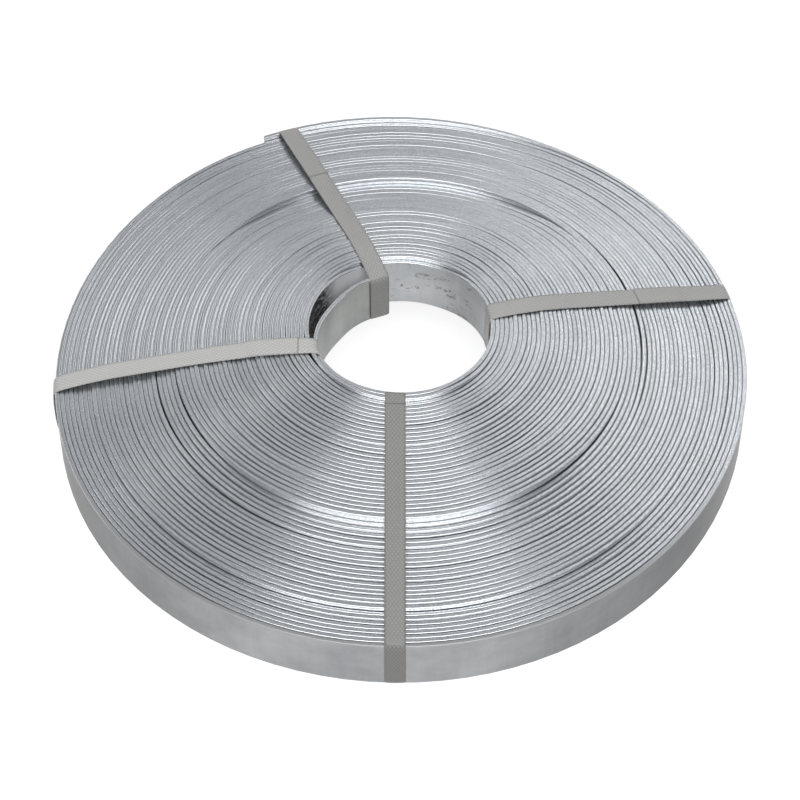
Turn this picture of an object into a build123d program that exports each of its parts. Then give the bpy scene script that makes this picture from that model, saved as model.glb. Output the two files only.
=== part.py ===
from build123d import *
import os
from math import atan2, cos, degrees, pi, radians, sin, sqrt

# Aluminium strip, mm
strip_width = 38.0
strip_thick = 3.0
turn_slack = 0.01

# Winding
bore_radius = 56.5
closed_turns = 56
pitch = strip_thick + turn_slack
body_radius = bore_radius + closed_turns * pitch
outer_radius = body_radius + pitch

# The turns climb from the rim towards the bore
dome_rise = 34.0
flat_turns = 3
edge_groove = 0.6
turns_per_ring = 2
turns_per_ring_below = 8

# Core slipped against the outer turns: raised at the front, sunk at the back, easing inwards
slip_turn = 32
slip_tilt = 1.45
slip_rings = 2
turns_per_slip = 8

# Start of each turned ring, clear of the line that the core tilts about
seam_angle = 45.0

# Outer end of the strip, its angle seen from above
outer_end_angle = 115.0
ring_overlap = 1.0

# Loose inner end, peeling off the bore wall clockwise
tail_start_angle = -152.0
tail_sweep = 105.5
tail_settle = 64.0
tail_bury = 0.8
tail_peel = 11.5
tail_drop = 1.5

# Plastic straps
strap_width = 13.0
strap_thick = 0.8
strap_clear = 0.3
strap_corner = 0.6
lap_length = 32.0

# How far each strap lies to the left of a line through the coil's axis, seen along its run
front_offset = -3.8
right_offset = -5.5
back_offset = -2.3
left_offset = 17.4

# Distance along the run at which each upper layer ends
front_lap = 67.0
right_lap = 160.0
back_lap = 163.0
left_lap = 66.0

# Name, direction of the run in degrees, offset and lap of each strap
straps = [
    ("strap_front", -90.0, front_offset, front_lap),
    ("strap_right", 17.0, right_offset, right_lap),
    ("strap_back", 111.1, back_offset, back_lap),
    ("strap_left", 180.0, left_offset, left_lap),
]


# Shape laws
def rise(radius):
    rim = outer_radius - flat_turns * pitch
    t = min(max((rim - radius) / (rim - bore_radius), 0.0), 1.0)
    return dome_rise * ((1 - cos(pi * t)) / 2 + sin(pi * t / 2)) / 2


def boundary(turn):
    return bore_radius + turn * pitch


def tail_radius(angle):
    q = min(max((tail_start_angle - angle) / tail_settle, 0.0), 1.0)
    return bore_radius + tail_bury - tail_peel * q * q * (3 - 2 * q)


# Outermost turn as two half circles, one thickness lost in a whole turn
def rim_radius(angle):
    swept = (outer_end_angle - angle) % 360
    wave = pitch / 4 * cos(radians(swept))
    if swept <= 180:
        return outer_radius - pitch / 4 + wave
    return outer_radius - pitch * 3 / 4 - wave


def polar(radius, angle):
    return (radius * cos(radians(angle)), radius * sin(radians(angle)))


# Rings of closed turns as inner turn, outer turn and tilt, from the rim in
def winding_rings():
    rings = [(slip_turn, closed_turns, 0.0)]
    for n in range(slip_rings):
        outer = slip_turn - n * turns_per_slip
        rings.append((outer - turns_per_slip, outer, slip_tilt * (1 - n / slip_rings)))
    return rings + [(0, slip_turn - slip_rings * turns_per_slip, 0.0)]


def pivot_height(inner, outer):
    return rise(boundary((inner + outer) / 2)) + strip_width / 2


# Edge line of a ring from its outer turn in, grooved at every other boundary listed
def edge_line(inner, outer, step, height, groove):
    return [
        (boundary(k), height + rise(boundary(k)) - groove * ((closed_turns - k) // step % 2))
        for k in range(outer, inner - 1, -step)
    ]


# One ring turned solid, its edges ridged above and below, its outer face let into the next ring
def turned_ring(inner, outer, tilt):
    top = edge_line(inner, outer, turns_per_ring, strip_width, edge_groove)
    under = edge_line(inner, outer, turns_per_ring_below, 0.0, -edge_groove)
    if outer < closed_turns:
        top[0] = (top[0][0] + ring_overlap, top[0][1])
        under[0] = (under[0][0] + ring_overlap, under[0][1])
    ring = revolve(Plane.XZ * make_face(Polyline(*top, *under[::-1], close=True)), Axis.Z)
    height = pivot_height(inner, outer)
    return Pos(0, 0, height) * Rot(-tilt, 0, 0) * Pos(0, 0, -height) * Rot(0, 0, seam_angle) * ring


def wound_body():
    body, *others = [turned_ring(*ring) for ring in winding_rings()]
    for ring in others:
        body = body + ring
    return body


# Outermost turn, running in clockwise from the free end
def outer_turn():
    start = polar(outer_radius, outer_end_angle)
    quarters = [outer_end_angle - 90 * k for k in (1, 2, 3)]
    first, half, last = [polar(rim_radius(a), a) for a in quarters]
    finish = polar(body_radius, outer_end_angle)
    outline = ThreePointArc(start, first, half) + ThreePointArc(half, last, finish)
    disc = make_face(outline + Line(finish, start))
    return extrude(disc - Circle(body_radius - ring_overlap), strip_width)


# Inner end, standing in the bore away from the wall
def inner_tail():
    steps = 18
    angles = [tail_start_angle - tail_sweep * k / steps for k in range(steps + 1)]
    near = [polar(tail_radius(a), a) for a in angles]
    far = [polar(tail_radius(a) + strip_thick, a) for a in angles]
    outline = Spline(*near) + Spline(*far) + Line(near[0], far[0]) + Line(near[-1], far[-1])
    base = rise(bore_radius) - tail_drop
    return Pos(0, 0, base) * extrude(make_face(outline), strip_width)


# Top and bottom corners of a ring's turns on a line beside the axis, in the line's own plane
def ring_corners(inner, outer, tilt, direction, y):
    height = pivot_height(inner, outer)
    turns = [(boundary(k), rise(boundary(k))) for k in range(inner, outer + 1)]
    if outer < closed_turns:
        turns[-1] = (turns[-1][0] + ring_overlap, turns[-1][1])
    corners = []
    for radius, low in turns:
        angle = direction + degrees(atan2(y, sqrt(radius**2 - y**2)))
        east, north = polar(radius, angle)
        for z in (low - height, low + strip_width - height):
            back = north * cos(radians(tilt)) + z * sin(radians(tilt))
            up = z * cos(radians(tilt)) - north * sin(radians(tilt))
            along = east * cos(radians(direction)) + back * sin(radians(direction))
            corners.append((along, height + up))
    return corners


# What a strap pulls tight round, in its own plane: distance along it and height
def wrapped_points(direction, offset):
    reach = (offset - strap_width / 2, offset + strap_width / 2)
    nearest = min(max(0.0, reach[0]), reach[1])
    points = []
    for y in (*reach, nearest):
        for ring in winding_rings():
            points += ring_corners(*ring, direction, y)
        along = sqrt(rim_radius(direction) ** 2 - y**2)
        points += [(along, 0.0), (along, strip_width)]
    base = rise(bore_radius) - tail_drop
    for k in range(int(tail_sweep) + 1):
        angle = tail_start_angle - k
        x, y = polar(tail_radius(angle), angle - direction)
        if x > 0 and abs(y - offset) < strap_width / 2 + strap_clear:
            points.append((x, base))
            points.append((x, base + strip_width))
    return points


# Taut loop round a set of points
def taut_loop(points):
    def chain(ordered):
        line = []
        for p in ordered:
            while len(line) > 1 and turn(line[-2], line[-1], p) <= 1e-9:
                line.pop()
            line.append(p)
        return line[:-1]

    def turn(a, b, c):
        return (b[0] - a[0]) * (c[1] - a[1]) - (b[1] - a[1]) * (c[0] - a[0])

    ordered = sorted(set((round(x, 4), round(z, 4)) for x, z in points))
    return make_face(Polyline(*chain(ordered), *chain(ordered[::-1]), close=True))


def sharp_corners(face):
    wire = face.outer_wire()
    found = []
    for vertex in face.vertices():
        a, b = [e for e in wire.edges() if vertex in e.vertices()]
        bend = abs(a.tangent_at(0).get_angle(b.tangent_at(0)))
        if min(bend, 180 - bend) > 25:
            found.append(vertex)
    return found


def grown(face, amount, corner):
    wide = offset(face, amount, kind=Kind.INTERSECTION).faces()[0]
    return fillet(sharp_corners(wide), corner)


# Band with its welded lap, the upper layer ending at the lap radius
def strap(direction, offset_y, lap_radius):
    loop = taut_loop(wrapped_points(direction, offset_y))
    inside = grown(loop, strap_clear, strap_corner)
    outside = grown(loop, strap_clear + strap_thick, strap_corner + strap_thick)
    double = grown(loop, strap_clear + 2 * strap_thick, strap_corner + 2 * strap_thick)
    window = Pos(lap_radius + lap_length / 2, strip_width * 2) * Rectangle(lap_length, strip_width * 2.4)
    band = outside - inside + ((double - inside) & window)
    solid = extrude(Plane.XZ * band, strap_width / 2, both=True)
    return Rot(0, 0, direction) * Pos(0, offset_y, 0) * solid


# Middle of the footprint at the origin, lowest point on the floor
def on_floor(pieces):
    boxes = [piece.bounding_box() for piece in pieces]
    low_x, high_x = min(b.min.X for b in boxes), max(b.max.X for b in boxes)
    low_y, high_y = min(b.min.Y for b in boxes), max(b.max.Y for b in boxes)
    return Pos(-(low_x + high_x) / 2, -(low_y + high_y) / 2, -min(b.min.Z for b in boxes))


def main():
    os.makedirs("parts", exist_ok=True)
    coil = wound_body() + outer_turn() + inner_tail()
    pieces = {"strip_coil": coil}
    for name, direction, offset_y, lap_radius in straps:
        pieces[name] = strap(direction, offset_y, lap_radius)
    place = on_floor(pieces.values())
    for name, piece in pieces.items():
        export_step(place * piece, f"parts/{name}.step")


main()
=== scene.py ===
import bpy
import math
import numpy as np
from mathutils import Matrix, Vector
from types import SimpleNamespace


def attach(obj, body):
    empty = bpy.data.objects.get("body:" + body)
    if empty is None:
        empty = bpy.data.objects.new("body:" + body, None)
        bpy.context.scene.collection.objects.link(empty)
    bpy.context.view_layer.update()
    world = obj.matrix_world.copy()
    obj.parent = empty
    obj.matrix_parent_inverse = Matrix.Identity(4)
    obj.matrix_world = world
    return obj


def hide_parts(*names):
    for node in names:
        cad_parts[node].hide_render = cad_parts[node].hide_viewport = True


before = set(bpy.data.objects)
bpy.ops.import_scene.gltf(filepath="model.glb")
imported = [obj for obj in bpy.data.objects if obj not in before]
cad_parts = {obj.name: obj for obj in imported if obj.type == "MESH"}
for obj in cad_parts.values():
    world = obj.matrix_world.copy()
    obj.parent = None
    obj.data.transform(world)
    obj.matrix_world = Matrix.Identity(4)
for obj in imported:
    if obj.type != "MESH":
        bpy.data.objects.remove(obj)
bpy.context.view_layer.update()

MM = 0.001
rng = np.random.default_rng(7)

# Coil axis in the frame, and the sizes of the winding, in mm
AXIS = np.array([-0.333, -0.203])
FLOOR_LIFT = 1.1
STRIP_W = 38.0
STRIP_T = 2.93
OUTER_R = 228.07
BORE_R = 56.5
DOME = 34.0
OUTER_CORNER = 0.72
INNER_CORNER = 0.66

# Outer end in degrees, closed turns, turns of the loose inner end, samples in a turn
END_AZ = 115.0
TURNS = 55.74
TAIL_TURNS = 105.5 / 360.0
PER_TURN = 96

# Loose inner end: how far it peels off, over how many turns, and how far it drops, in mm
PEEL = 10.7
PEEL_TURNS = 64.0 / 360.0
TAIL_DROP = 1.5

# The outer turn strays from round in waves: waves in a turn, mm, direction of the first peak in degrees
WAVES = ((1, 1.97, -126.0), (2, 0.65, 75.0), (3, 0.71, 7.7), (4, 0.65, 26.8))
MEAN_STRAY = -0.48

# Turns that stand open: turn, azimuth, half width in degrees, gap in mm
OPENINGS = (
    (23.0, 20.0, 44.0, 1.3), (22.0, -4.0, 20.0, 0.6), (26.3, -38.0, 26.0, 0.4),
    (23.0, -158.0, 24.0, 0.7), (26.5, -158.0, 24.0, 0.5), (54.4, -160.0, 14.0, 1.2),
    (4.3, 8.0, 45.0, 0.4), (7.5, 12.0, 40.0, 0.3), (12.4, 40.0, 30.0, 0.25), (51.0, -160.0, 28.0, 0.35),
)

# Steps where the core has slipped: turn, mm up at the front, mm down at the back; turns to fade over
SLIPS = ((21.07, 0.9, 0.0), (24.07, 1.2, 0.0), (26.07, 4.6, 0.0), (24.6, 0.0, 5.2))
SLIP_FADE = 14.0

# Turns that stand proud or low: first and last turn, azimuth, half width, height, fade in turns
PROUD = (
    (22.57, 24.57, 95.0, 80.0, 0.8, 0.1), (8.07, 10.07, -90.0, 100.0, 2.0, 4.0),
    (54.07, 57.0, -85.0, 90.0, 1.0, 0.2), (50.07, 53.6, -80.0, 90.0, -1.0, 0.3),
    (-1.0, 0.25, 115.0, 75.0, 3.0, 0.1), (54.6, 57.0, 88.0, 62.0, -3.0, 0.12),
    (46.57, 47.57, 95.0, 60.0, 0.9, 3.0), (3.57, 4.57, 70.0, 60.0, 0.7, 2.0),
    (31.07, 32.07, -75.0, 60.0, 0.8, 5.0), (14.07, 15.07, -100.0, 60.0, 0.8, 4.0),
)

# Turn at which the outermost turn ends
RIM_END = 1.002

# Turns between which the bore wall lies behind the loose end
HIDDEN_FROM = 54.72
HIDDEN_TO = 55.04

# Turns over which the soot and painted shade behind the loose end set in, and over which the bore wall
# goes from painted light to painted shade
SOOT_AND_SHADE_TURNS = (54.945, 54.90)
BORE_PAINTED_LIGHT_TURNS = (55.09, 55.19)

# Turns between which the bore wall is smudged, and the turn at the middle of the front
SMUDGE_TURNS = (55.05, 55.24)
FRONT_TURN = 0.585

# Colours of the strip's slit edges
BURNISHED = (0.90, 0.925, 0.95)
SHEARED = (0.85, 0.885, 0.92)
PITTED = (0.28, 0.30, 0.33)
RUBBED = (0.46, 0.465, 0.47)
# Painted shade for the seams between turns that stand level
PAINTED_SEAM_SHADE = (0.10, 0.105, 0.11)

# Colours of its faces, each pair from dark to light
CLEAN = ((0.80, 0.81, 0.825), (0.88, 0.885, 0.89))
DULLED = ((0.30, 0.31, 0.32), (0.39, 0.40, 0.41))
# Soot with painted shade behind the loose end, from dark to pale
SOOT_AND_PAINTED_SHADE = ((0.02, 0.021, 0.022), (0.88, 0.90, 0.92))

# Tint of the loose end, and the colour of the smudges in the bore
TAIL_TINT = (1.0, 1.0, 0.95)
INK = (0.11, 0.115, 0.12)

# Colours of the plastic, in the weave's hollows and on its ribs
PLASTIC = ((0.44, 0.435, 0.42, 1), (0.60, 0.595, 0.58, 1))

# Floor under the lamps and as the camera sees it, and the light from all round
FLOOR_GREY = (0.38, 0.38, 0.38, 1)
FLOOR_GLOW = 0.84
SURROUNDINGS = (0.93, 0.96, 1.0, 1)
SURROUNDINGS_STRENGTH = 0.14

# Strapping in mm
STRAP_W = 13.0
STRAP_T = 0.8
STRAP_GAP = 0.25
STRAP_COLUMNS = 9
LAP_LENGTH = 32.0

# Height above which a strap runs over the top, and radius past which it may bulge off the rim
OVER_TOP = 45.0
AT_RIM = 222.0

# Straps: direction, offset to the left of the axis, lap's end, skew at the rim, bulge off it, painted
# light (each strap's colour scaled for how light falls on it)
STRAPS = {
    "strap_front": (-90.0, -3.8, 67.0, 0.0, 0.6, 0.65),
    "strap_right": (17.0, -5.5, 160.0, 0.0, 0.3, 0.96),
    "strap_back": (111.1, -2.3, 163.0, 0.0, 0.3, 0.86),
    "strap_left": (180.0, 17.4, 66.0, 4.5, 1.8, 1.22),
}

# Lamps: azimuth and elevation in degrees, distance, width and height in metres, power in watts
LAMPS = {
    "back": (76.0, 40.0, 2.4, 2.0, 1.1, 3.2),
    "key": (72.0, 48.0, 1.85, 0.5, 0.6, 1.2),
    "left": (128.0, 24.0, 2.4, 1.4, 1.0, 7.0),
    "high left": (108.0, 56.0, 2.2, 0.7, 0.5, 0.65),
    "far left": (163.0, 46.0, 2.2, 0.4, 0.4, 2.2),
    "right": (30.0, 36.0, 2.4, 1.4, 1.2, 3.6),
    "high right": (72.0, 55.0, 2.2, 0.5, 0.5, 0.4),
    "far right": (8.0, 46.0, 2.2, 0.4, 0.4, 1.2),
    "top": (-90.0, 84.0, 2.2, 1.8, 1.2, 6.0),
    "front": (-90.0, 56.0, 2.2, 2.4, 1.3, 30.0),
}

# Camera: elevation in degrees, distance and aim in mm, points per mm, picture and sensor width
CAMERA_ELEVATION = 49.63
CAMERA_DISTANCE = 8 * 228.0
CAMERA_AIM = (-0.77, -0.4)
POINTS_PER_MM = 1.5068
PICTURE_POINTS = 800.0
SENSOR = 36.0


def smooth01(x):
    x = np.clip(x, 0.0, 1.0)
    return x * x * (3 - 2 * x)


def bell(distance, half, soft):
    """1 in the middle, easing to 0 at half; soft is the share of half that it eases over."""
    return 1.0 - smooth01((distance / half - (1 - soft)) / soft)


def hump(az, centre, half, soft):
    return bell(np.abs((az - centre + 180.0) % 360.0 - 180.0), half, soft)


def wander(n, step, low, high):
    """Smooth random run along the strip, one knot every step samples."""
    knots = rng.uniform(low, high, n // step + 4)
    x = np.arange(n) / step
    i = x.astype(int)
    f = smooth01(x - i)
    return knots[i] * (1 - f) + knots[i + 1] * f


# Samples along the strip, in turns from its outer end, and their azimuths
N = int(round((TURNS + TAIL_TURNS) * PER_TURN)) + 1
s = np.arange(N) / PER_TURN
az = END_AZ - 360.0 * s


def open_gaps():
    total = np.zeros(N)
    for turn, at, half, size in OPENINGS:
        near = np.abs(s - turn) < 0.5
        total = total + size * hump(az, at, half, 0.8) * near
    return total


def outermost_turn():
    radius = OUTER_R + MEAN_STRAY - (STRIP_T + 0.05) * s[:PER_TURN]
    for count, size, peak in WAVES:
        radius += size * np.cos(np.radians(count * (az[:PER_TURN] - peak)))
    return radius


def wound_radius():
    """Radius of the strip's outer face at each sample, wound in from the rim."""
    gap = 0.15 + wander(N, 20, 0.0, 1.0) ** 3
    opening = open_gaps()
    radius = np.zeros(N)
    radius[:PER_TURN] = outermost_turn()
    closed = int(round(TURNS * PER_TURN))
    for j in range(PER_TURN):
        run = np.arange(PER_TURN + j, closed + PER_TURN, PER_TURN)
        run = run[run < N]
        target = BORE_R + STRIP_T + 3.0 * max(0.0, TURNS - s[run[-1]])
        room = radius[j] - target - STRIP_T * len(run) - opening[run].sum()
        scale = max(room, 0.2) / gap[run].sum()
        r = radius[j]
        for k in run:
            r = r - STRIP_T - gap[k] * scale - opening[k]
            radius[k] = r
    # Even out the seam between one turn and the next
    even = np.convolve(np.pad(radius, 2, mode="edge"), [0.1, 0.2, 0.4, 0.2, 0.1], "valid")
    radius[PER_TURN:] = even[PER_TURN:]
    return radius


def domed(radius):
    rim = OUTER_R - 9.0
    t = np.clip((rim - radius) / (rim - BORE_R), 0, 1)
    return DOME * ((1 - np.cos(np.pi * t)) / 2 + np.sin(np.pi * t / 2)) / 2


def slipped(lift):
    """The core has slipped: high against the outer turns at the front, low at the back."""
    front = hump(az, -92.0, 100.0, 0.75)
    rear = hump(az, 94.0, 60.0, 0.6)
    for turn, up_front, down_back in SLIPS:
        step = smooth01((s - turn + 0.1) / 0.2) * (1 - smooth01((s - turn - 0.5) / SLIP_FADE))
        lift = lift + step * (up_front * front - down_back * rear)
    return lift


def with_proud_turns(lift):
    for first, last, at, half, size, fade in PROUD:
        inside = smooth01((s - first + 0.1) / 0.2) * (1 - smooth01((s - last) / fade))
        lift = lift + size * hump(az, at, half, 0.7) * inside
    return lift


def wound_lift(radius):
    """Height of the strip's lower edge at each sample."""
    lift = domed(radius) + wander(N, 58, -0.55, 0.55) + wander(N, 17, -0.14, 0.14)
    lift = np.maximum(with_proud_turns(slipped(lift)), 0.0)
    ease = smooth01((s - (TURNS - 0.15)) / 0.2)
    return lift * (1 - ease) + (DOME - TAIL_DROP) * ease


def with_loose_end(radius):
    peel = PEEL * smooth01((s - TURNS) / PEEL_TURNS)
    return np.where(s > TURNS, BORE_R + STRIP_T + 0.1 - peel, radius)


closed_radius = wound_radius()
lift = wound_lift(closed_radius)
radius = with_loose_end(closed_radius)


def new_mesh(name, verts, faces):
    me = bpy.data.meshes.new(name)
    me.from_pydata(verts.tolist(), [], faces)
    me.update()
    return me


def store(me, uv_name, uv, **values):
    """Smooth shading, and the places and values at each point that the material reads."""
    me.uv_layers.new(name=uv_name).data.foreach_set("uv", uv.astype(np.float32))
    for key, v in values.items():
        me.attributes.new(key, "FLOAT", "POINT").data.foreach_set("value", v.astype(np.float32))
    me.polygons.foreach_set("use_smooth", np.ones(len(me.polygons), bool))


def new_object(name, me, material, node_name):
    o = bpy.data.objects.new(name, me)
    bpy.context.scene.collection.objects.link(o)
    me.materials.append(material)
    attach(o, "root")
    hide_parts(node_name)


def strip_profile():
    """Corners of the strip's section from its outer face, and their normals."""
    ro, ri = OUTER_CORNER, INNER_CORNER
    points, normals = [], []
    for x, z, start, r in ((-ro, STRIP_W - ro, 0, ro), (-STRIP_T + ri, STRIP_W - ri, 90, ri),
                           (-STRIP_T + ri, ri, 180, ri), (-ro, ro, 270, ro)):
        for turned in (0, 30, 60, 90):
            q = math.radians(start + turned)
            points.append((x + r * math.cos(q), z + r * math.sin(q)))
            normals.append((math.cos(q), math.sin(q)))
    return np.array(points), np.array(normals)


def round_axis(across, up):
    """Positions or normals of the section at every sample, from their parts across and up."""
    ang = np.radians(az)[:, None]
    return np.stack([across * np.cos(ang), across * np.sin(ang), up], 2).reshape(-1, 3)


def strip_faces(m):
    i = np.arange(N - 1)[:, None] * m
    j = np.arange(m)[None, :]
    j2 = (j + 1) % m
    quads = np.stack([i + j, i + j2, i + m + j2, i + m + j], 2).reshape(-1, 4)
    near_end = list(range(m))[::-1]
    far_end = [(N - 1) * m + k for k in range(m)]
    return quads.tolist() + [near_end, far_end]


def strip_uv(profile):
    """Distance along the strip and round its section, in metres."""
    m = len(profile)
    x, y = radius * np.cos(np.radians(az)), radius * np.sin(np.radians(az))
    along = np.concatenate([[0.0], np.cumsum(np.hypot(np.diff(x), np.diff(y)))]) * MM
    ring = np.hypot(*np.diff(np.vstack([profile, profile[:1]]), axis=0).T)
    across = np.concatenate([[0.0], np.cumsum(ring)]) * MM
    i = np.repeat(np.arange(N - 1), m)
    j = np.tile(np.arange(m), N - 1)
    corners = [(i, j), (i, j + 1), (i + 1, j + 1), (i + 1, j)]
    quads = np.stack([np.stack([along[a], across[b]], 1) for a, b in corners], 1)
    ends = np.zeros(2 * m * 2)
    return np.concatenate([quads.reshape(-1), ends])


def painted_shade_in_seams(m):
    """How strongly each corner of the section is painted with shade in the seam between turns that stand
    level.
    """
    alone = 9.0
    over_outer = np.full(N, alone)
    over_outer[PER_TURN:] = lift[PER_TURN:] - lift[:-PER_TURN]
    over_inner = np.full(N, alone)
    over_inner[:-PER_TURN] = lift[:-PER_TURN] - lift[PER_TURN:]
    in_bore = s > TURNS - 0.98
    over_inner[in_bore] = alone
    seam = np.ones((N, m))
    for k, share in enumerate((1.0, 0.5, 0.12, 0.0)):
        seam[:, k] = share * (1 - smooth01((over_outer - 0.15) / 0.7))
        seam[:, 7 - k] = share * (1 - smooth01((over_inner - 0.15) / 0.7))
    # The open faces' lower corners get little or no painted shade
    seam[:PER_TURN, 15] = 0.0
    seam[:PER_TURN, 12:15] = 0.3
    seam[in_bore, 8] = 0.0
    return seam


def strip_mesh():
    """One long strip with rounded edges, swept along the winding."""
    profile, normals = strip_profile()
    m = len(profile)
    verts = round_axis(radius[:, None] + profile[:, 0], lift[:, None] + profile[:, 1] + FLOOR_LIFT)
    verts = (verts + [*AXIS, 0.0]) * MM
    me = new_mesh("strip", verts, strip_faces(m))
    outward = np.clip(normals[:, 0], 0, 1)
    store(me, "strip", strip_uv(profile), turn=np.repeat(s, m), edge=np.tile(np.abs(normals[:, 1]), N),
          outside=np.tile(outward, N), seam=painted_shade_in_seams(m).reshape(-1))
    across = np.tile(normals[:, 0], (N, 1))
    up = np.tile(normals[:, 1], (N, 1))
    me.normals_split_custom_set_from_vertices(round_axis(across, up).tolist())
    return me


def node(nt, kind, **values):
    n = nt.nodes.new(kind)
    for k, v in values.items():
        if k in n.inputs:
            n.inputs[k].default_value = v
        else:
            setattr(n, k, v)
    return n


def point_value(nt, name):
    return node(nt, "ShaderNodeAttribute", attribute_name=name).outputs["Fac"]


def noise(nt, uv, scale, detail=3.0, roughness=0.6):
    """Noise laid along the strip: x follows its length, y its section."""
    m = node(nt, "ShaderNodeMapping", Scale=(*scale, 1.0))
    nt.links.new(uv, m.inputs[0])
    n = node(nt, "ShaderNodeTexNoise", Scale=1.0, Detail=detail, Roughness=roughness)
    nt.links.new(m.outputs[0], n.inputs["Vector"])
    return n.outputs[0]


def spread(nt, value, low, high, to_low, to_high):
    m = node(nt, "ShaderNodeMapRange")
    for key, v in (("From Min", low), ("From Max", high), ("To Min", to_low), ("To Max", to_high)):
        m.inputs[key].default_value = v
    nt.links.new(value, m.inputs[0])
    return m.outputs[0]


def calc(nt, operation, *values):
    m = node(nt, "ShaderNodeMath", operation=operation)
    for socket, v in zip(m.inputs, values):
        if isinstance(v, (int, float)):
            socket.default_value = v
        else:
            nt.links.new(v, socket)
    return m.outputs[0]


def blend(nt, factor, one, two, mode="MIX"):
    m = node(nt, "ShaderNodeMix", data_type="RGBA", blend_type=mode)
    for i, v in ((0, factor), (6, one), (7, two)):
        if isinstance(v, (int, float)):
            m.inputs[i].default_value = v
        elif isinstance(v, tuple):
            m.inputs[i].default_value = (*v, 1)
        else:
            nt.links.new(v, m.inputs[i])
    return m.outputs[2]


def times(nt, colour, tone):
    return blend(nt, 1.0, colour, tone, "MULTIPLY")


def between(nt, value, low, high):
    above = calc(nt, "GREATER_THAN", value, low)
    return calc(nt, "MULTIPLY", above, calc(nt, "LESS_THAN", value, high))


def new_material(name):
    mat = bpy.data.materials.new(name)
    mat.use_nodes = True
    return mat, mat.node_tree


def raise_surface(nt, shader, height, strength, distance):
    bump = node(nt, "ShaderNodeBump", Strength=strength, Distance=distance)
    nt.links.new(height, bump.inputs["Height"])
    nt.links.new(bump.outputs[0], shader.inputs["Normal"])


def strip_maps(nt):
    """Noise along the strip, and masks for its edges and its faces."""
    m = SimpleNamespace()
    m.uv = node(nt, "ShaderNodeUVMap", uv_map="strip").outputs[0]
    m.turn, edge, outside, m.seam = [point_value(nt, key) for key in ("turn", "edge", "outside", "seam")]
    m.streak = noise(nt, m.uv, (30.0, 2200.0))
    m.grain = noise(nt, m.uv, (1300.0, 1900.0), 4.0, 0.7)
    m.slow = noise(nt, m.uv, (9.0, 40.0), 2.0)
    m.blot = noise(nt, m.uv, (210.0, 300.0), 3.0, 0.75)
    m.on_edge = spread(nt, edge, 0.0, 0.3, 0.0, 1.0)
    m.on_land = spread(nt, edge, 0.9, 1.0, 0.0, 1.0)
    m.pits = calc(nt, "MULTIPLY", spread(nt, m.grain, 0.56, 0.42, 0.0, 1.0), m.on_land)
    # Faces that lie open: the outermost turn's outer face and the bore's wall
    open_outer = calc(nt, "LESS_THAN", m.turn, RIM_END)
    past_tail = calc(nt, "GREATER_THAN", m.turn, HIDDEN_TO)
    m.open_inner = calc(nt, "MULTIPLY", past_tail, calc(nt, "SUBTRACT", 1.0, outside))
    m.weathered = calc(nt, "MAXIMUM", calc(nt, "MULTIPLY", open_outer, outside), m.open_inner)
    # All but the wall behind the loose end
    m.bare = calc(nt, "MAXIMUM", calc(nt, "LESS_THAN", m.turn, HIDDEN_FROM), past_tail)
    m.bare = calc(nt, "MAXIMUM", m.bare, outside)
    # The outermost turn's edge is rubbed dull at the front
    m.from_front = calc(nt, "ABSOLUTE", calc(nt, "SUBTRACT", m.turn, FRONT_TURN))
    m.rubbed = calc(nt, "MULTIPLY", open_outer, spread(nt, edge, 0.02, 0.10, 0.0, 0.9))
    m.rubbed = calc(nt, "MULTIPLY", m.rubbed, spread(nt, m.from_front, 0.10, 0.20, 1.0, 0.0))
    return m


def land_colour(nt, m):
    """Slit edges: bright burnished corners, dark pits in the sheared land."""
    land = blend(nt, m.pits, SHEARED, PITTED)
    land = blend(nt, m.on_land, BURNISHED, land)
    return times(nt, land, spread(nt, m.slow, 0.35, 0.65, 0.86, 1.0))


def dull_colour(nt, m):
    """Sheet faces dulled where they have lain open."""
    cloud = noise(nt, m.uv, (22.0, 30.0), 4.0, 0.6)
    scuff = noise(nt, m.uv, (160.0, 18.0), 3.0, 0.65)
    dull = blend(nt, spread(nt, cloud, 0.35, 0.65, 0.0, 1.0), *DULLED)
    dull = times(nt, dull, spread(nt, scuff, 0.35, 0.65, 0.96, 1.03))
    dull = times(nt, dull, spread(nt, m.streak, 0.3, 0.7, 0.95, 1.04))
    # Painted shade and light: the outer wall is painted darker at its left and right, the bore wall
    # painted brightest at the back
    rim_tone = spread(nt, m.from_front, 0.05, 0.17, 1.0, 0.26)
    bore_tone = spread(nt, m.turn, *BORE_PAINTED_LIGHT_TURNS, 1.35, 0.87)
    dull = times(nt, dull, blend(nt, m.open_inner, rim_tone, bore_tone))
    on_tail = calc(nt, "GREATER_THAN", m.turn, TURNS)
    return blend(nt, on_tail, dull, times(nt, dull, TAIL_TINT))


def smudged(nt, m, colour):
    """Smudges of ink on the wall of the bore."""
    patch = noise(nt, m.uv, (55.0, 110.0), 1.0, 0.5)
    here = between(nt, m.turn, *SMUDGE_TURNS)
    here = calc(nt, "MULTIPLY", here, spread(nt, patch, 0.50, 0.58, 0.0, 1.0))
    ink = calc(nt, "MULTIPLY", here, spread(nt, m.blot, 0.52, 0.60, 0.0, 0.8))
    return blend(nt, ink, colour, INK)


def side_colour(nt, m):
    """Sheet faces: clean inside the coil, dull where open, sooty and painted dark with shade behind the
    loose end.
    """
    sheet = blend(nt, spread(nt, m.streak, 0.3, 0.7, 0.0, 1.0), *CLEAN)
    sides = blend(nt, m.weathered, sheet, smudged(nt, m, dull_colour(nt, m)))
    # Painted shade with soot smudges at its narrow end, and pale towards the strap
    narrow = spread(nt, m.turn, *SOOT_AND_SHADE_TURNS, 0.0, 1.0)
    soot_and_shade = calc(nt, "MULTIPLY", spread(nt, m.blot, 0.40, 0.60, 0.6, 1.4), narrow)
    sooty_shaded, pale = SOOT_AND_PAINTED_SHADE
    wedge = blend(nt, soot_and_shade, pale, sooty_shaded)
    return blend(nt, m.bare, wedge, sides)


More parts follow.
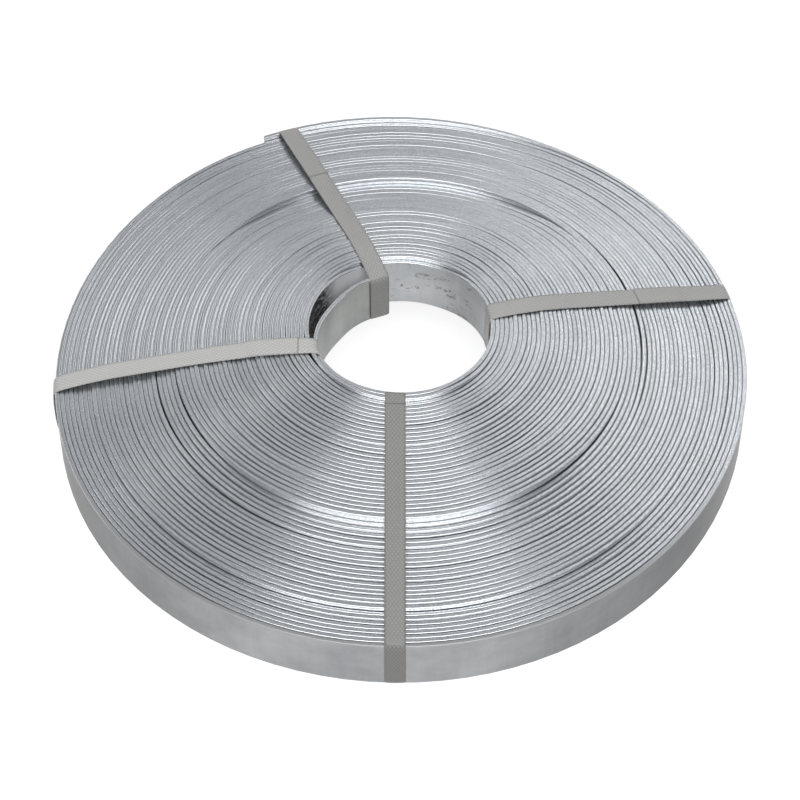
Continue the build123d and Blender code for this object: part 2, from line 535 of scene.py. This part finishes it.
def strip_colour(nt, m):
    colour = blend(nt, m.on_edge, side_colour(nt, m), land_colour(nt, m))
    # Painted shade darkens the seams between turns that stand level
    painted_seam_darkness = calc(nt, "MULTIPLY", m.seam, spread(nt, m.slow, 0.40, 0.62, 0.6, 1.0))
    colour = blend(nt, painted_seam_darkness, colour, PAINTED_SEAM_SHADE)
    return blend(nt, m.rubbed, colour, RUBBED)


def strip_roughness(nt, m):
    land = spread(nt, m.pits, 0.0, 1.0, 0.24, 0.5)
    side = spread(nt, m.streak, 0.3, 0.7, 0.20, 0.27)
    side = calc(nt, "ADD", side, calc(nt, "MULTIPLY", m.weathered, 0.13))
    side = blend(nt, m.bare, (0.85, 0.85, 0.85), side)
    return blend(nt, m.rubbed, blend(nt, m.on_edge, side, land), (0.5, 0.5, 0.5))


def aluminium():
    mat, nt = new_material("aluminium strip")
    shader = nt.nodes["Principled BSDF"]
    m = strip_maps(nt)
    nt.links.new(calc(nt, "MAXIMUM", m.bare, m.on_edge), shader.inputs["Metallic"])
    nt.links.new(strip_colour(nt, m), shader.inputs["Base Color"])
    nt.links.new(strip_roughness(nt, m), shader.inputs["Roughness"])
    fine = calc(nt, "MULTIPLY", m.grain, m.on_land)
    height = calc(nt, "ADD", calc(nt, "MULTIPLY", m.streak, 0.3), fine)
    raise_surface(nt, shader, height, 0.05, 0.0001)
    return mat


def section_points(direction, y):
    """Upper and lower corners of every turn cut by a plane beside the axis."""
    points = []
    loc = np.radians(az - direction)
    for off in (0.0, -STRIP_T):
        along = (radius + off) * np.cos(loc)
        aside = (radius + off) * np.sin(loc)
        crosses = (along[:-1] > 0) & ((aside[:-1] - y) * (aside[1:] - y) <= 0)
        for k in np.where(crosses)[0]:
            f = (y - aside[k]) / (aside[k + 1] - aside[k])
            u = along[k] + f * (along[k + 1] - along[k])
            z = lift[k] + f * (lift[k + 1] - lift[k]) + FLOOR_LIFT
            points += [(u, z), (u, z + STRIP_W)]
    return np.array(points)


def bend(a, b, c):
    return (b[0] - a[0]) * (c[1] - a[1]) - (b[1] - a[1]) * (c[0] - a[0])


def half_hull(points):
    out = []
    for p in points:
        while len(out) > 1 and bend(out[-2], out[-1], p) <= 0:
            out.pop()
        out.append(p)
    return out[:-1]


def hull(points):
    p = sorted(map(tuple, points))
    return np.array(half_hull(p) + half_hull(p[::-1]))


def resample(line, count):
    seg = np.hypot(*np.diff(line, axis=0).T)
    d = np.concatenate([[0], np.cumsum(seg)])
    q = np.linspace(0, d[-1], count, endpoint=False)
    return np.stack([np.interp(q, d, line[:, 0]), np.interp(q, d, line[:, 1])], 1)


def strap_path(points):
    """Closed taut path, outer bottom corner first, then up the rim, over the top and down the bore."""
    h = hull(points)
    n = len(h)
    outer_low = np.argmax(h[:, 0] - 2.0 * h[:, 1])
    outer_top = np.argmax(h[:, 0] * 3.0 + h[:, 1])
    inner_top = np.argmax(-h[:, 0] * 3.0 + h[:, 1])
    inner_low = np.argmin(h[:, 0] * 3.0 + h[:, 1])
    parts = []
    for i, j, count in ((outer_low, outer_top, 20), (outer_top, inner_top, 90),
                        (inner_top, inner_low, 20), (inner_low, outer_low, 90)):
        last = j if j > i else j + n
        parts.append(resample(h[np.arange(i, last + 1) % n], count))
    return np.vstack(parts)


def rounded(path, count):
    """The path with softened corners, and its outward normals."""
    for _ in range(count):
        path = (np.roll(path, 1, 0) + 2 * path + np.roll(path, -1, 0)) / 4
    tan = np.roll(path, -1, 0) - np.roll(path, 1, 0)
    tan /= np.hypot(tan[:, 0], tan[:, 1])[:, None]
    return path, np.stack([tan[:, 1], -tan[:, 0]], 1)


def strap_layers(direction, offset, lap_end, stand, flat_at_bore):
    """Inner and outer face of the band at each of its columns, as distance from the axis and height."""
    ys = offset + np.linspace(-STRAP_W / 2, STRAP_W / 2, STRAP_COLUMNS)
    cuts = [section_points(direction, y) for y in ys]
    whole = strap_path(np.vstack(cuts))
    inner, outer = [], []
    for y, cut in zip(ys, cuts):
        own = smooth01((whole[:, :1] - 70.0) / 60.0) if flat_at_bore else 1.0
        path, out = rounded(whole * (1 - own) + strap_path(cut) * own, 3)
        u, z = path[:, 0], path[:, 1]
        lap = (z > OVER_TOP) & (u > lap_end) & (u < lap_end + LAP_LENGTH)
        thin_edge = 1.0 - 0.35 * (np.abs(y - offset) > STRAP_W / 2 - 0.1)
        thick = STRAP_GAP + STRAP_T * thin_edge + np.where(lap, STRAP_T, 0.0)
        bulge = stand * smooth01((u - AT_RIM) / 5.0) * bell(np.abs(z - 20.0), 130.0 / 6, 0.8)
        path = path + out * bulge[:, None]
        inner.append(path + out * STRAP_GAP)
        outer.append(path + out * thick[:, None])
    return ys, np.array(inner), np.array(outer)


def strap_points(direction, ys, layers, lap_end, skew):
    """Points of the band in the frame, and how far each lies from the lap's end."""
    d = math.radians(direction)
    verts, from_lap = [], []
    for grid in layers:
        for y, line in zip(ys, grid):
            u, z = line[:, 0], line[:, 1]
            side = y + skew * np.clip((u - 180.0) / 48.0, 0.0, 1.2) ** 2
            east = u * math.cos(d) - side * math.sin(d) + AXIS[0]
            north = u * math.sin(d) + side * math.cos(d) + AXIS[1]
            verts.append(np.stack([east, north, z], 1))
            from_lap.append(np.where(z > OVER_TOP, u - lap_end, 50.0))
    return np.vstack(verts) * MM, np.concatenate(from_lap)


def strap_faces(across, run):
    """Quads of the band's outer and inner face and of its two edges, and their places in metres."""
    cols, n = len(across), len(run) - 1
    thick = STRAP_T * MM
    faces, uvs = [], []

    def add(corners, turned):
        corners = corners[::-1] if turned else corners
        faces.append([(layer * cols + c) * n + k % n for layer, c, k, v in corners])
        uvs.append([(run[k], v) for layer, c, k, v in corners])

    for c in range(cols - 1):
        near, far = across[c], across[c + 1]
        for k in range(n):
            for layer in (1, 0):
                add([(layer, c, k, near), (layer, c, k + 1, near),
                     (layer, c + 1, k + 1, far), (layer, c + 1, k, far)], layer == 1)
    for c in (0, cols - 1):
        near, far = across[c], across[c] + thick
        for k in range(n):
            add([(0, c, k, near), (0, c, k + 1, near), (1, c, k + 1, far), (1, c, k, far)], c == 0)
    return faces, np.array(uvs)


def strap_mesh(name, direction, offset, lap_end, skew, stand, tone):
    # Only the back strap stays flat across near the bore, where it runs round the loose end
    flat_at_bore = name == "strap_back"
    ys, inner, outer = strap_layers(direction, offset, lap_end, stand, flat_at_bore)
    verts, from_lap = strap_points(direction, ys, (inner, outer), lap_end, skew)
    seg = np.hypot(*np.diff(np.vstack([outer[0], outer[0][:1]]), axis=0).T)
    run = np.concatenate([[0], np.cumsum(seg)]) * MM
    faces, uvs = strap_faces((ys - ys[0]) * MM, run)
    me = new_mesh(name, verts, faces)
    store(me, "strap", uvs.reshape(-1), lap=from_lap, tone=np.full(len(verts), tone))
    return me


def weave(nt):
    """Two crossed sets of fine ribs."""
    uv = node(nt, "ShaderNodeUVMap", uv_map="strap").outputs[0]
    waves = []
    for angle in (55.0, -55.0):
        m = node(nt, "ShaderNodeMapping", Rotation=(0, 0, math.radians(angle)))
        nt.links.new(uv, m.inputs[0])
        w = node(nt, "ShaderNodeTexWave", wave_type="BANDS", bands_direction="X",
                 Scale=160.0, Distortion=0.8, Detail=1.0)
        nt.links.new(m.outputs[0], w.inputs["Vector"])
        waves.append(w.outputs[1])
    return calc(nt, "MULTIPLY", *waves)


def strapping():
    mat, nt = new_material("strapping")
    shader = nt.nodes["Principled BSDF"]
    shader.inputs["Roughness"].default_value = 0.36
    cross = weave(nt)
    ramp = node(nt, "ShaderNodeValToRGB")
    for element, colour in zip(ramp.color_ramp.elements, PLASTIC):
        element.color = colour
    nt.links.new(cross, ramp.inputs[0])
    # Painted shade: the upper layer's end shows as a thin dark line painted into the colour
    painted_lap_end_shade = spread(nt, calc(nt, "ABSOLUTE", point_value(nt, "lap")), 0.3, 0.8, 0.6, 1.0)
    # Each strap's colour is scaled by its painted light and by the painted shade at the lap's end
    tone = calc(nt, "MULTIPLY", point_value(nt, "tone"), painted_lap_end_shade)
    nt.links.new(times(nt, ramp.outputs[0], tone), shader.inputs["Base Color"])
    raise_surface(nt, shader, cross, 0.7, 0.0003)
    return mat


def floor_material():
    """White to the camera and in reflections, with the shadow kept."""
    mat, nt = new_material("floor")
    nt.nodes.clear()
    rays = node(nt, "ShaderNodeLightPath").outputs
    seen = calc(nt, "MAXIMUM", rays["Is Camera Ray"], rays["Is Glossy Ray"])
    seen = calc(nt, "MAXIMUM", seen, rays["Is Transmission Ray"])
    diffuse = node(nt, "ShaderNodeBsdfDiffuse", Color=FLOOR_GREY)
    glow = node(nt, "ShaderNodeEmission")
    nt.links.new(calc(nt, "MULTIPLY", seen, FLOOR_GLOW), glow.inputs["Strength"])
    both = node(nt, "ShaderNodeAddShader")
    nt.links.new(diffuse.outputs[0], both.inputs[0])
    nt.links.new(glow.outputs[0], both.inputs[1])
    out = node(nt, "ShaderNodeOutputMaterial")
    nt.links.new(both.outputs[0], out.inputs["Surface"])
    return mat


def lay_floor():
    bpy.ops.mesh.primitive_plane_add(size=14.0, location=(0, 0, 0))
    floor = bpy.context.object
    floor.name = "floor"
    floor.data.materials.append(floor_material())


def light_surroundings():
    """Even studio surroundings."""
    world = bpy.data.worlds.new("studio")
    bpy.context.scene.world = world
    world.use_nodes = True
    background = world.node_tree.nodes["Background"]
    background.inputs["Color"].default_value = SURROUNDINGS
    background.inputs["Strength"].default_value = SURROUNDINGS_STRENGTH


def place_facing(o, location, away):
    """Put a lamp or camera in place, looking the other way from the direction given."""
    o.location = location
    o.rotation_mode = "QUATERNION"
    o.rotation_quaternion = away.to_track_quat("Z", "Y")
    bpy.context.scene.collection.objects.link(o)


def softbox(name, azimuth, elevation, distance, width, height, power):
    """Area lamp aimed at the object, azimuth counted from +X towards +Y."""
    a, e = math.radians(azimuth), math.radians(elevation)
    d = Vector((math.cos(a) * math.cos(e), math.sin(a) * math.cos(e), math.sin(e)))
    lamp = bpy.data.lights.new(name, "AREA")
    lamp.shape = "RECTANGLE"
    lamp.size = width
    lamp.size_y = height
    lamp.energy = power
    place_facing(bpy.data.objects.new(name, lamp), d * distance, d)


def place_camera():
    """Camera at the photograph's angle."""
    elevation = math.radians(CAMERA_ELEVATION)
    away = Vector((0.0, -math.cos(elevation), math.sin(elevation)))
    up = Vector((0.0, math.sin(elevation), math.cos(elevation)))
    aside, above = CAMERA_AIM
    target = Vector((AXIS[0] + aside, AXIS[1], 0.0)) * MM + up * (above * MM)
    data = bpy.data.cameras.new("camera")
    data.sensor_width = SENSOR
    data.lens = POINTS_PER_MM * CAMERA_DISTANCE / PICTURE_POINTS * SENSOR
    camera = bpy.data.objects.new("camera", data)
    place_facing(camera, target + away * (CAMERA_DISTANCE * MM), away)
    bpy.context.scene.camera = camera


new_object("strip", strip_mesh(), aluminium(), "strip_coil")
strap_material = strapping()
for name, values in STRAPS.items():
    band = name.replace("strap", "band")
    new_object(band, strap_mesh(name, *values), strap_material, name)

lay_floor()
light_surroundings()
for name, values in LAMPS.items():
    softbox(name, *values)
place_camera()
bpy.context.scene.view_settings.view_transform = "Standard"
